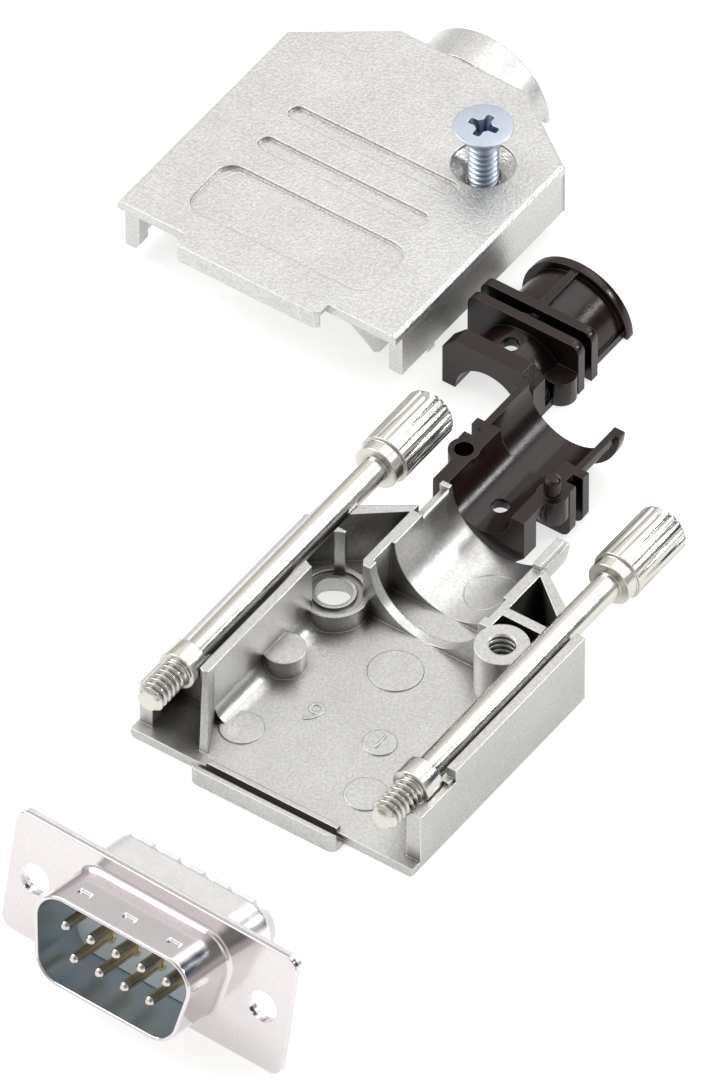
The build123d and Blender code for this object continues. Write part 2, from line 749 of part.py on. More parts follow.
# Rear insulator: its back edge is scalloped round each solder cup
with BuildPart() as rear_insulator:
    with BuildSketch(flange_plane.offset(-insulator_joint)):
        d_outline(insulator_width, insulator_height, insulator_corner)
    extrude(amount=-(insulator_rear - scallop_depth - insulator_joint))
    with BuildSketch(flange_plane.offset(-(insulator_rear - scallop_depth))) as sleeves:
        d_outline(insulator_width, insulator_height, insulator_corner)
        for row, reach in ((5, 1), (4, -1)):
            with Locations(*[((n - row / 2) * contact_pitch, reach * insulator_height / 2) for n in range(row + 1)]):
                Circle(scallop_radius / 2, mode=Mode.SUBTRACT)
    extrude(amount=-scallop_depth)
    with BuildSketch(flange_plane.offset(-insulator_joint)):
        with Locations(*contact_spots):
            Circle(stem_diameter / 2)
    extrude(amount=-(insulator_rear - insulator_joint), mode=Mode.SUBTRACT)
rear_insulator.part.label = "rear_insulator"
export_step(rear_insulator.part, "parts/rear_insulator.step")

# Contacts: turned pins with a stem in the insulators and an open solder cup behind
for number, (contact_x, contact_z) in enumerate(contact_spots, 1):
    with BuildPart() as contact:
        with BuildSketch(flange_plane.offset(insulator_front)):
            with Locations((contact_x, contact_z)):
                Circle(stem_diameter / 2)
        extrude(amount=-(insulator_front + insulator_rear))
        with BuildSketch(flange_plane.offset(insulator_front)):
            with Locations((contact_x, contact_z)):
                Circle(pin_diameter / 2)
        extrude(amount=pin_reach)
        chamfer(contact.edges().filter_by(GeomType.CIRCLE).sort_by(Axis.Y)[0], pin_point)
        with BuildSketch(flange_plane.offset(-insulator_rear)):
            with Locations((contact_x, contact_z)):
                Circle(cup_diameter / 2)
        extrude(amount=-cup_length)
        with BuildSketch(flange_plane.offset(-(insulator_rear + cup_length))):
            with Locations((contact_x, contact_z)):
                Circle(cup_bore / 2)
            opening_side = 1 if contact_z > 0 else -1
            with Locations((contact_x, contact_z + opening_side * cup_diameter / 2)):
                Rectangle(cup_diameter, cup_diameter)
        extrude(amount=cup_bore_depth, mode=Mode.SUBTRACT)
    contact.part.label = f"contact_{number}"
    export_step(contact.part, f"parts/contact_{number}.step")
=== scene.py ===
"""Finish and light for a nine-way D-sub connector kit laid out on a table.

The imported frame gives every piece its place, in metres: +X to the right, +Y from the mating
face towards the cable outlet, +Z up, with the table at Z = 0.
"""

import json

import bmesh
import bpy
import numpy as np
from mathutils import Matrix, Vector


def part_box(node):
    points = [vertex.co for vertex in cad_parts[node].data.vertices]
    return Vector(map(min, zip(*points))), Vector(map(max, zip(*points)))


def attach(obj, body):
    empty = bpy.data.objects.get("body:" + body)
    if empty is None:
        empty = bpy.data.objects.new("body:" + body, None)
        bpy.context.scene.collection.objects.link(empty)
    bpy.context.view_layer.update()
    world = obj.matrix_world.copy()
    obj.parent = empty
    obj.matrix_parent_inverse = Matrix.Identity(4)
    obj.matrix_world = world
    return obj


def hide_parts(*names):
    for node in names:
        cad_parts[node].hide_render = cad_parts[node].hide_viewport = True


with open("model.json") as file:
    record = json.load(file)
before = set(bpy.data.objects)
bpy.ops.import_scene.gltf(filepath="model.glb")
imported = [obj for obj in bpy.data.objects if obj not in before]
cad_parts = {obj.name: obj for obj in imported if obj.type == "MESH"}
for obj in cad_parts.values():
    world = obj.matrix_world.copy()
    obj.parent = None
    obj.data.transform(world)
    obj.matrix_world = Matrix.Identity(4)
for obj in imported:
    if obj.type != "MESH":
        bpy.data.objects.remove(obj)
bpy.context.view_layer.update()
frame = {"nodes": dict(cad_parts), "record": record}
nodes = frame["nodes"]
mm = 0.001


# Camera: a long lens well back from the table, so that parallel edges stay parallel. It stands
# 35 degrees to the right of the mating faces and looks down a little steeper than 45 degrees.
camera_azimuth = np.radians(35)
camera_elevation = np.radians(45.55)
camera_target = np.array([-13.1, 30.8, 0]) * mm
view_height = 95.4 * mm
# film and lens in millimetres, as the camera takes them, and its reach in metres
film_height = 36
focal_length = 1000
camera_reach = 60


def sky_direction(azimuth, elevation):
    """Unit vector towards a place in the studio: azimuth 0 is in front of the mating faces and
    turns to the right, elevation is above the table."""
    level = np.cos(elevation)
    return np.array([np.sin(azimuth) * level, -np.cos(azimuth) * level, np.sin(elevation)])


def aim(thing, place, target):
    """Puts a camera or lamp at a place and turns it to look at the target."""
    gaze = Vector(target - place)
    thing.location = place
    thing.rotation_euler = gaze.to_track_quat("-Z", "Y").to_euler()


camera_data = bpy.data.cameras.new("catalogue_camera")
camera_data.lens = focal_length
camera_data.sensor_fit = "VERTICAL"
camera_data.sensor_height = film_height
camera_data.clip_end = camera_reach
camera = bpy.data.objects.new("catalogue_camera", camera_data)
bpy.context.scene.collection.objects.link(camera)
bpy.context.scene.camera = camera
camera_distance = view_height * focal_length / film_height
toward_camera = sky_direction(camera_azimuth, camera_elevation)
aim(camera, camera_target + toward_camera * camera_distance, camera_target)


# Studio: a table lit from below, a dome whose brightness changes with direction so that plated
# metal has something to mirror, a dark flag behind on the right, and three soft boxes.
table_half = 20.0
table_white = (0.50, 0.50, 0.495, 1)
table_light = (0.95, 0.95, 0.945, 1)
table_glow = 0.72
table_roughness = 0.9
table_specular = 0.1
# height of a direction, 0 at the table and 1 overhead, and the dome's brightness there
dome_steps = (
    (0.0, 1.0), (0.008, 0.40), (0.12, 0.50), (0.28, 0.62), (0.44, 0.62), (0.62, 0.95),
    (0.75, 1.0), (0.9, 0.70), (1.0, 0.5),
)
dome_tint = (1.0, 0.995, 0.98)
dome_strength = 1.25
lens_shadow = 0.30
lens_shadow_edges = (0.80, 0.97)
# name, azimuth and elevation in degrees, distance and width in metres, brightness
soft_boxes = (
    ("left_soft_box", -75, 48, 0.45, 0.34, 2.6),
    ("back_soft_box", 170, 58, 0.45, 0.30, 1.4),
    ("right_strip", 130, 34, 0.42, 0.06, 34.0),
)
flag_azimuth = np.radians(146)
flag_elevation = np.radians(14)
flag_edges = (0.83, 0.94)
flag_colour = (0.03, 0.045, 0.085, 1)

bpy.context.scene.view_settings.view_transform = "Standard"
bpy.context.scene.view_settings.look = "None"

table_mesh = bpy.data.meshes.new("table")
table_corners = np.array([(-1, -1), (1, -1), (1, 1), (-1, 1)]) * table_half
table_mesh.from_pydata(np.c_[table_corners, np.zeros(4)].tolist(), [], [(0, 1, 2, 3)])
table = bpy.data.objects.new("table", table_mesh)
bpy.context.scene.collection.objects.link(table)
table_paint = bpy.data.materials.new("table_paint")
table_paint.use_nodes = True
table_shader = table_paint.node_tree.nodes["Principled BSDF"]
table_shader.inputs["Base Color"].default_value = table_white
table_shader.inputs["Roughness"].default_value = table_roughness
table_shader.inputs["Specular IOR Level"].default_value = table_specular
table_shader.inputs["Emission Color"].default_value = table_light
table_shader.inputs["Emission Strength"].default_value = table_glow
table_mesh.materials.append(table_paint)

dome = bpy.data.worlds.new("studio_dome")
dome.use_nodes = True
bpy.context.scene.world = dome
dome_tree = dome.node_tree
dome_light = dome_tree.nodes["Background"]
direction = dome_tree.nodes.new("ShaderNodeTexCoord")
height = dome_tree.nodes.new("ShaderNodeSeparateXYZ")
dome_tree.links.new(direction.outputs["Generated"], height.inputs[0])
dome_ramp = dome_tree.nodes.new("ShaderNodeValToRGB")
dome_ramp.color_ramp.interpolation = "EASE"
stops = dome_ramp.color_ramp.elements
for step, (at, level) in enumerate(dome_steps):
    stop = stops[step] if step < len(stops) else stops.new(at)
    stop.position = at
    stop.color = (*(level * share for share in dome_tint), 1)
dome_tree.links.new(height.outputs["Z"], dome_ramp.inputs["Fac"])
facing_lens = dome_tree.nodes.new("ShaderNodeVectorMath")
facing_lens.operation = "DOT_PRODUCT"
facing_lens.inputs[1].default_value = toward_camera
dome_tree.links.new(direction.outputs["Generated"], facing_lens.inputs[0])
lens_side = dome_tree.nodes.new("ShaderNodeMapRange")
lens_side.interpolation_type = "SMOOTHSTEP"
lens_side.inputs["From Min"].default_value = lens_shadow_edges[0]
lens_side.inputs["From Max"].default_value = lens_shadow_edges[1]
lens_side.inputs["To Min"].default_value = dome_strength
lens_side.inputs["To Max"].default_value = lens_shadow
dome_tree.links.new(facing_lens.outputs["Value"], lens_side.inputs["Value"])
facing_flag = dome_tree.nodes.new("ShaderNodeVectorMath")
facing_flag.operation = "DOT_PRODUCT"
facing_flag.inputs[1].default_value = sky_direction(flag_azimuth, flag_elevation)
dome_tree.links.new(direction.outputs["Generated"], facing_flag.inputs[0])
flag_share = dome_tree.nodes.new("ShaderNodeMapRange")
flag_share.interpolation_type = "SMOOTHSTEP"
flag_share.inputs["From Min"].default_value = flag_edges[0]
flag_share.inputs["From Max"].default_value = flag_edges[1]
dome_tree.links.new(facing_flag.outputs["Value"], flag_share.inputs["Value"])
flag_mix = dome_tree.nodes.new("ShaderNodeMix")
flag_mix.data_type = "RGBA"
flag_mix.inputs["B"].default_value = flag_colour
dome_tree.links.new(dome_ramp.outputs["Color"], flag_mix.inputs["A"])
dome_tree.links.new(flag_share.outputs["Result"], flag_mix.inputs["Factor"])
dome_tree.links.new(flag_mix.outputs["Result"], dome_light.inputs["Color"])
dome_tree.links.new(lens_side.outputs["Result"], dome_light.inputs["Strength"])

for name, azimuth, elevation, distance, width, brightness in soft_boxes:
    lamp = bpy.data.lights.new(name, "AREA")
    lamp.shape = "SQUARE"
    lamp.size = width
    lamp.energy = brightness * np.pi * width**2
    lamp_object = bpy.data.objects.new(name, lamp)
    bpy.context.scene.collection.objects.link(lamp_object)
    place = camera_target + distance * sky_direction(np.radians(azimuth), np.radians(elevation))
    aim(lamp_object, place, camera_target)


# Hood halves: the same zinc die casting twice, nickel plated, closed on itself by two screws.
# The cover shows the pebbled skin of the mould, the open lower half a smoother one, painted a
# little darker as shade. The plating rounds every edge, brightened partly as rubbed plating and
# partly as a painted highlight, and painted shade darkens the shut-in corners.
hood_edge = 0.16 * mm
hood_light = (0.68, 0.675, 0.66, 1)
hood_dark = (0.53, 0.525, 0.51, 1)
# bright edge colour: a painted highlight on plating that is partly rubbed bright
hood_rubbed_edge_highlight = (0.80, 0.795, 0.78, 1)
# painted shade for the shut-in corners, and how far it reaches
hood_painted_shade = (0.10, 0.087, 0.068, 1)
painted_shade_reach = 2.0 * mm
pebble_size = 0.24 * mm
pebble_depth = 0.045 * mm
wave_size = 1.6 * mm
wave_depth = 0.008 * mm
cloud_size = 6 * mm
tube_length = 3.7 * mm
tube_blend = 0.3 * mm
tube_pebbles = 0.12
cast_sharp = 32
merge_distance = 0.0005 * mm


def grain_group():
    """Node group for cast, plated and moulded surfaces alike, read in metres on the piece: a
    fine grain height, and a slow cloud that shifts tint and gloss from place to place."""
    group = bpy.data.node_groups.new("surface_grain", "ShaderNodeTree")
    for name in ("Grain Size", "Wave Size", "Cloud Size"):
        group.interface.new_socket(name, in_out="INPUT", socket_type="NodeSocketFloat")
    for name in ("Grain", "Wave", "Cloud"):
        group.interface.new_socket(name, in_out="OUTPUT", socket_type="NodeSocketFloat")
    given = group.nodes.new("NodeGroupInput")
    result = group.nodes.new("NodeGroupOutput")
    place = group.nodes.new("ShaderNodeTexCoord")
    for size, out, detail in (
        ("Grain Size", "Grain", 1), ("Wave Size", "Wave", 1), ("Cloud Size", "Cloud", 3),
    ):
        scale = group.nodes.new("ShaderNodeMath")
        scale.operation = "DIVIDE"
        scale.inputs[0].default_value = 1
        group.links.new(given.outputs[size], scale.inputs[1])
        noise = group.nodes.new("ShaderNodeTexNoise")
        noise.inputs["Detail"].default_value = detail
        group.links.new(place.outputs["Object"], noise.inputs["Vector"])
        group.links.new(scale.outputs[0], noise.inputs["Scale"])
        group.links.new(noise.outputs["Fac"], result.inputs[out])
    return group


surface_grain = grain_group()
# the stretches of noise that pass from the dark tint to the light one, and from glossy to dull
tint_range = (0.48, 0.92)
gloss_range = (0.3, 0.7)
cloud_share = 0.4


def grained_material(name, light, dark, gloss, metallic, sizes, depths):
    """A Principled material on the shared grain: cloud and grain mix two tints, the wave shifts
    the roughness within gloss = (low, high), and grain and wave raise the surface by their depths.
    Returns the material, its shader, and the node that scales the grain's height."""
    material = bpy.data.materials.new(name)
    material.use_nodes = True
    tree = material.node_tree
    shader = tree.nodes["Principled BSDF"]
    shader.inputs["Metallic"].default_value = metallic
    grain = tree.nodes.new("ShaderNodeGroup")
    grain.node_tree = surface_grain
    for socket, size in zip(("Grain Size", "Wave Size", "Cloud Size"), sizes):
        grain.inputs[socket].default_value = size
    tint = tree.nodes.new("ShaderNodeMix")
    tint.data_type = "RGBA"
    tint.inputs["A"].default_value = dark
    tint.inputs["B"].default_value = light
    spread = tree.nodes.new("ShaderNodeMapRange")
    spread.inputs["From Min"].default_value = tint_range[0]
    spread.inputs["From Max"].default_value = tint_range[1]
    blotches = tree.nodes.new("ShaderNodeMath")
    blotches.operation = "MULTIPLY_ADD"
    blotches.inputs[1].default_value = cloud_share
    tree.links.new(grain.outputs["Cloud"], blotches.inputs[0])
    tree.links.new(grain.outputs["Grain"], blotches.inputs[2])
    tree.links.new(blotches.outputs[0], spread.inputs["Value"])
    tree.links.new(spread.outputs["Result"], tint.inputs["Factor"])
    tree.links.new(tint.outputs["Result"], shader.inputs["Base Color"])
    rough = tree.nodes.new("ShaderNodeMapRange")
    rough.inputs["From Min"].default_value = gloss_range[0]
    rough.inputs["From Max"].default_value = gloss_range[1]
    rough.inputs["To Min"].default_value = gloss[0]
    rough.inputs["To Max"].default_value = gloss[1]
    tree.links.new(grain.outputs["Wave"], rough.inputs["Value"])
    tree.links.new(rough.outputs["Result"], shader.inputs["Roughness"])
    heights = []
    for output, depth in zip(("Grain", "Wave"), depths):
        raised = tree.nodes.new("ShaderNodeMath")
        raised.operation = "MULTIPLY"
        raised.inputs[1].default_value = depth / mm
        tree.links.new(grain.outputs[output], raised.inputs[0])
        heights.append(raised)
    total = tree.nodes.new("ShaderNodeMath")
    tree.links.new(heights[0].outputs[0], total.inputs[0])
    tree.links.new(heights[1].outputs[0], total.inputs[1])
    bump = tree.nodes.new("ShaderNodeBump")
    bump.inputs["Distance"].default_value = mm
    tree.links.new(total.outputs[0], bump.inputs["Height"])
    tree.links.new(bump.outputs["Normal"], shader.inputs["Normal"])
    return material, shader, heights[0]


# how far the flat and the rounded normal agree where the edge's mask begins and where it is full
edge_agreement = (0.99, 0.85)
edge_samples = 6
corner_samples = 8
sky_span = 0.5


def rubbed_and_highlit_edge_group():
    """Node group for every piece: the surface's normal with each edge rounded by a radius, and a
    mask that is 1 along those edges, where the two normals part."""
    group = bpy.data.node_groups.new("rubbed_and_highlit_edge", "ShaderNodeTree")
    group.interface.new_socket("Edge Radius", in_out="INPUT", socket_type="NodeSocketFloat")
    group.interface.new_socket("Normal", in_out="OUTPUT", socket_type="NodeSocketVector")
    group.interface.new_socket("Edge", in_out="OUTPUT", socket_type="NodeSocketFloat")
    given = group.nodes.new("NodeGroupInput")
    result = group.nodes.new("NodeGroupOutput")
    rounding = group.nodes.new("ShaderNodeBevel")
    rounding.samples = edge_samples
    group.links.new(given.outputs["Edge Radius"], rounding.inputs["Radius"])
    group.links.new(rounding.outputs["Normal"], result.inputs["Normal"])
    facing = group.nodes.new("ShaderNodeNewGeometry")
    agree = group.nodes.new("ShaderNodeVectorMath")
    agree.operation = "DOT_PRODUCT"
    group.links.new(rounding.outputs["Normal"], agree.inputs[0])
    group.links.new(facing.outputs["Normal"], agree.inputs[1])
    edge = group.nodes.new("ShaderNodeMapRange")
    edge.inputs["From Min"].default_value = edge_agreement[0]
    edge.inputs["From Max"].default_value = edge_agreement[1]
    group.links.new(agree.outputs["Value"], edge.inputs["Value"])
    group.links.new(edge.outputs["Result"], result.inputs["Edge"])
    return group


rubbed_and_highlit_edge = rubbed_and_highlit_edge_group()


def paint_edge_highlight_and_shade(material, shader, edge_radius, rubbed_edge_highlight, reach, painted_shade, most, open_sky=0.80):
    """Rounds a material's edges by a radius and paints them towards the given edge colour, as a
    painted highlight on edges that are partly rubbed bright, and paints shade into corners that are
    shut in within reach: the given shade colour is the colour there, most its largest share, and
    open_sky the share of free directions at which it begins, to be full sky_span lower."""
    tree = material.node_tree
    form = tree.nodes.new("ShaderNodeGroup")
    form.node_tree = rubbed_and_highlit_edge
    form.inputs["Edge Radius"].default_value = edge_radius
    bump = shader.inputs["Normal"].links[0].from_node
    tree.links.new(form.outputs["Normal"], bump.inputs["Normal"])
    hollow = tree.nodes.new("ShaderNodeAmbientOcclusion")
    hollow.samples = corner_samples
    hollow.only_local = True
    hollow.inputs["Distance"].default_value = reach
    corner = tree.nodes.new("ShaderNodeMapRange")
    corner.inputs["From Min"].default_value = open_sky
    corner.inputs["From Max"].default_value = open_sky - sky_span
    corner.inputs["To Max"].default_value = most
    tree.links.new(hollow.outputs["AO"], corner.inputs["Value"])
    plain = shader.inputs["Base Color"].links[0].from_socket
    # Painted highlight along the edges, then painted shade in the shut-in corners, over the base
    # colour.
    for share, colour in ((form.outputs["Edge"], rubbed_edge_highlight), (corner.outputs["Result"], painted_shade)):
        layer = tree.nodes.new("ShaderNodeMix")
        layer.data_type = "RGBA"
        layer.inputs["B"].default_value = colour
        tree.links.new(plain, layer.inputs["A"])
        tree.links.new(share, layer.inputs["Factor"])
        plain = layer.outputs["Result"]
    tree.links.new(plain, shader.inputs["Base Color"])


def cast_nickel(node, name, painted_shade_tone, gloss, pebbles, most):
    """Plated casting: satin, with the mould's pebbles, rounded edges brightened partly as rubbed
    plating and partly as a painted highlight, and painted shade in the shut-in corners. The tone is
    a share of the plating's full brightness; below 1 it paints the whole piece darker, as shade.
    The outlet tube is nearly smooth, so the pebbles fade where Y passes the shoulder that it starts
    from."""
    light, dark = ((*(painted_shade_tone * level for level in tint[:3]), 1) for tint in (hood_light, hood_dark))
    material, shader, grain_height = grained_material(
        name, light, dark, gloss, metallic=1.0,
        sizes=(pebble_size, wave_size, cloud_size), depths=(pebble_depth * pebbles, wave_depth),
    )
    tree = material.node_tree
    place = tree.nodes.new("ShaderNodeTexCoord")
    along = tree.nodes.new("ShaderNodeSeparateXYZ")
    tree.links.new(place.outputs["Object"], along.inputs[0])
    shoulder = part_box(node)[1][1] - tube_length
    fade = tree.nodes.new("ShaderNodeMapRange")
    fade.inputs["From Min"].default_value = shoulder
    fade.inputs["From Max"].default_value = shoulder + tube_blend
    fade.inputs["To Min"].default_value = pebble_depth * pebbles / mm
    fade.inputs["To Max"].default_value = tube_pebbles * pebble_depth * pebbles / mm
    tree.links.new(along.outputs["Y"], fade.inputs["Value"])
    tree.links.new(fade.outputs["Result"], grain_height.inputs[1])
    paint_edge_highlight_and_shade(material, shader, hood_edge, hood_rubbed_edge_highlight, painted_shade_reach, hood_painted_shade, most)
    return material


def smooth_copy(node, material):
    """A piece that stands for a CAD node: its mesh with the triangles joined, so that round
    faces shade smoothly and edges sharper than cast_sharp stay crisp."""
    mesh = nodes[node].data.copy()
    work = bmesh.new()
    work.from_mesh(mesh)
    bmesh.ops.remove_doubles(work, verts=work.verts, dist=merge_distance)
    work.to_mesh(mesh)
    work.free()
    if "custom_normal" in mesh.attributes:
        mesh.attributes.remove(mesh.attributes["custom_normal"])
    mesh.shade_smooth()
    mesh.set_sharp_from_angle(angle=np.radians(cast_sharp))
    mesh.materials.clear()
    mesh.materials.append(material)
    piece = bpy.data.objects.new(node + "_finish", mesh)
    bpy.context.scene.collection.objects.link(piece)
    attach(piece, "root")
    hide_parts(node)


cover_nickel = cast_nickel(
    "upper_shell", "cover_nickel", painted_shade_tone=1.0, gloss=(0.38, 0.46), pebbles=1.0, most=0.25,
)
# The lower half's smaller tone paints its whole plating darker, as shade.
tray_nickel = cast_nickel(
    "lower_shell", "tray_nickel", painted_shade_tone=0.83, gloss=(0.33, 0.41), pebbles=0.4, most=0.9,
)
smooth_copy("upper_shell", cover_nickel)
smooth_copy("lower_shell", tray_nickel)


# Marks of the mould inside the lower half: the ring of an ejector pin in the clamp's seat, two
# cavity numbers on the floor, and the thread in the tapped boss.
seat_axis_z = 6.85 * mm
seat_radius = 5.8 * mm
seat_mark = (1.5 * mm, 31.5 * mm)
seat_mark_radius = 2.4 * mm
mark_line = 0.07 * mm
mark_around = 96
bead_around = 8
tap_place = (9.0 * mm, 22.4 * mm)
tap_radius = 1.3 * mm
tap_wall = 0.02 * mm
tap_crest = 0.13 * mm
tap_ends = (0.6 * mm, 6.8 * mm)
tap_around = 72
tap_rings = 16
threads_per_inch = 40
thread_pitch = 25.4 / threads_per_inch * mm
thread_sharp = 55
crisp_angle = 40
digit_raise = 0.06 * mm
digit_round = 0.02 * mm
# text, its middle on the floor, the floor's height above the table, and the size, all in mm
numbers = (
    ("9", (-3.05, 10.65), 1.0, 3.6),
    ("1", (3.9, 11.0), 1.12, 2.4),
)


def loop_surface(name, rings, material, body, hide=(), sharp=crisp_angle):
    """A closed piece from rings[k, i, xyz] whose last ring joins the first, all by quads."""
    count, around = rings.shape[:2]
    ring, spot = np.meshgrid(np.arange(count), np.arange(around), indexing="ij")
    after, following = (spot + 1) % around, (ring + 1) % count
    quads = np.stack([
        ring * around + spot, ring * around + after,
        following * around + after, following * around + spot,
    ], -1).reshape(-1, 4)
    return finished_mesh(
        name, rings.reshape(-1, 3), quads.tolist(), material, body, hide, sharp,
    )


def finished_mesh(name, points, faces, material, body, hide, sharp):
    """Makes the piece, turns its faces outwards, shades it smooth but for edges sharper than the
    angle in degrees, and says where it belongs."""
    mesh = bpy.data.meshes.new(name)
    mesh.from_pydata(points.tolist(), [], faces)
    work = bmesh.new()
    work.from_mesh(mesh)
    bmesh.ops.recalc_face_normals(work, faces=work.faces)
    work.to_mesh(mesh)
    work.free()
    mesh.shade_smooth()
    mesh.set_sharp_from_angle(angle=np.radians(sharp))
    mesh.materials.append(material)
    piece = bpy.data.objects.new(name, mesh)
    bpy.context.scene.collection.objects.link(piece)
    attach(piece, body)
    if hide:
        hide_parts(*hide)
    return piece


# A thin round bead along a circle laid on the seat: z = axis - sqrt(radius^2 - x^2).
turn = np.linspace(0, 2 * np.pi, mark_around, endpoint=False)[:, None]
bead = np.linspace(0, 2 * np.pi, bead_around, endpoint=False)[None]
reach = seat_mark_radius + mark_line * np.cos(bead)
bead_x = seat_mark[0] + reach * np.cos(turn)
bead_y = seat_mark[1] + reach * np.sin(turn)
bead_z = seat_axis_z - np.sqrt(seat_radius**2 - bead_x**2) + mark_line * np.sin(bead)
loop_surface("seat_mark", np.stack([bead_x, bead_y, bead_z], -1), tray_nickel, "root")

# The boss's thread: a sleeve just inside the bore, its inner radius bore - crest * wave, with the
# wave a smoothed triangle of height / pitch - angle / 2 pi.
climb = np.arange(tap_ends[0], tap_ends[1], thread_pitch / tap_rings)[:, None]
around = np.linspace(0, 2 * np.pi, tap_around, endpoint=False)[None]
crest = np.abs(2 * ((climb / thread_pitch - around / (2 * np.pi)) % 1) - 1)
inner = tap_radius - tap_crest * crest * crest * (3 - 2 * crest)
outer = np.full((2, 1), tap_radius + tap_wall) + 0 * around
outer_heights = np.array([[tap_ends[1]], [tap_ends[0]]])
tap_heights = np.concatenate([climb + 0 * around, outer_heights + 0 * around])
tap_reach = np.concatenate([inner, outer])
tap_angle = np.broadcast_to(around, tap_reach.shape)
tap_x = tap_place[0] + tap_reach * np.cos(tap_angle)
tap_y = tap_place[1] + tap_reach * np.sin(tap_angle)
loop_surface(
    "boss_thread", np.stack([tap_x, tap_y, tap_heights], -1), tray_nickel, "root",
    sharp=thread_sharp,
)

for text, middle, floor, letter_size in numbers:
    letters = bpy.data.curves.new("cavity_number_" + text, "FONT")
    letters.body = text
    letters.size = letter_size * mm
    letters.extrude = digit_raise
    letters.bevel_depth = digit_round
    letters.align_x = "CENTER"
    letters.align_y = "CENTER"
    sketch = bpy.data.objects.new("cavity_sketch_" + text, letters)
    bpy.context.scene.collection.objects.link(sketch)
    bpy.context.view_layer.update()
    drawn = sketch.evaluated_get(bpy.context.evaluated_depsgraph_get())
    mesh = bpy.data.meshes.new_from_object(drawn)
    bpy.data.objects.remove(sketch)
    mesh.transform(Matrix.Translation((middle[0] * mm, middle[1] * mm, floor * mm)))
    mesh.materials.clear()
    mesh.materials.append(tray_nickel)
    number = bpy.data.objects.new("cavity_number_" + text, mesh)
    bpy.context.scene.collection.objects.link(number)
    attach(number, "root")


# Jackscrews: turned steel rods, bright nickel plated, with a 4-40 thread at the front, a collar
# that keeps them in the hood, and a head with straight flutes and a screwdriver slot.
jack_light = (0.65, 0.635, 0.595, 1)
jack_dark = (0.58, 0.565, 0.52, 1)
# the edges' painted highlight, and the near-black painted shade of the grooves
jack_rubbed_edge_highlight = (0.76, 0.745, 0.71, 1)
groove_painted_shade = (0.03, 0.026, 0.02, 1)
jack_around = 144
thread_depth = 0.36 * mm
thread_radius = 1.42 * mm
thread_rings = 20
thread_start = 0.3
jack_thread = 4.45 * mm
jack_tip = 0.4 * mm
collar_radius = 1.9 * mm
collar_length = 2.3 * mm
rod_radius = 1.3 * mm
head_radius = 2.5 * mm
head_length = 7.6 * mm
head_round = 0.5 * mm
neck_radius = 2.2 * mm
neck_length = 1.3 * mm
small_round = 0.12 * mm
flute_count = 18
flute_depth = 0.30 * mm
flute_wave = (1.6, 0.6)
flute_foot = 1.01 * head_round
slot_width = 0.8 * mm
slot_depth = 1.1 * mm
cut_margin = 1 * mm
shortest_leg = 2.2
arc_points = 4


def ring_surface(name, rings, material, body, hide=(), sharp=crisp_angle):
    """A closed piece from rings[k, i, xyz], ring after ring along a path: neighbours are joined
    by quads, and both ends close on the middle of their last ring."""
    count, around = rings.shape[:2]
    points = np.concatenate([rings.reshape(-1, 3), rings[0].mean(0)[None], rings[-1].mean(0)[None]])
    ring, spot = np.meshgrid(np.arange(count - 1), np.arange(around), indexing="ij")
    after = (spot + 1) % around
    low, high = ring * around, (ring + 1) * around
    quads = np.stack([low + spot, low + after, high + after, high + spot], -1).reshape(-1, 4)
    here, beside = np.arange(around), (np.arange(around) + 1) % around
    first, last = count * around, count * around + 1
    start = np.stack([beside, here, np.full(around, first)], -1)
    base = (count - 1) * around
    end = np.stack([base + here, base + beside, np.full(around, last)], -1)
    faces = quads.tolist() + start.tolist() + end.tolist()
    return finished_mesh(name, points, faces, material, body, hide, sharp)


def rounded_steps(steps, round_off):
    """Stations and radii of a turned profile given as (station, radius) corners: each corner is
    cut back along its two legs by round_off, or by a leg's length / shortest_leg if that is less,
    and bridged by an arc."""
    corners = np.array(steps, float)
    legs = np.diff(corners, axis=0)
    lengths = np.linalg.norm(legs, axis=1)
    ways = legs / lengths[:, None]
    turn = np.linspace(0, 1, arc_points)[:, None]
    stretches = [corners[:1]]
    for k in range(1, len(corners) - 1):
        cut = min(round_off, lengths[k - 1] / shortest_leg, lengths[k] / shortest_leg)
        start, end = corners[k] - ways[k - 1] * cut, corners[k] + ways[k] * cut
        bend = 2 * turn * (1 - turn) * corners[k]
        stretches.append((1 - turn) ** 2 * start + bend + turn**2 * end)
    stretches.append(corners[-1:])
    return np.concatenate(stretches)


def thread_groove(along, angle):
    """Depth below the crest of a right-hand rolled thread: a triangle wave of the turn count,
    along / pitch less angle / 2 pi, rounded at crest and root by a smooth step."""
    turns = along / thread_pitch - angle / (2 * np.pi)
    wave = np.abs(2 * (turns % 1) - 1)
    return thread_depth * wave * wave * (3 - 2 * wave)


def cut_with(piece, cutter_rings, sharp=crisp_angle):
    """Subtracts the closed ring surface from a piece with a Boolean and applies it."""
    cutter = ring_surface("cutter", cutter_rings, piece.data.materials[0], "root")
    cut = piece.modifiers.new("cut", "BOOLEAN")
    cut.operation = "DIFFERENCE"
    cut.solver = "EXACT"
    cut.object = cutter
    bpy.context.view_layer.update()
    result = piece.evaluated_get(bpy.context.evaluated_depsgraph_get())
    shaped = bpy.data.meshes.new_from_object(result)
    piece.modifiers.clear()
    bpy.data.objects.remove(cutter)
    piece.data = shaped
    shaped.shade_smooth()
    shaped.set_sharp_from_angle(angle=np.radians(sharp))


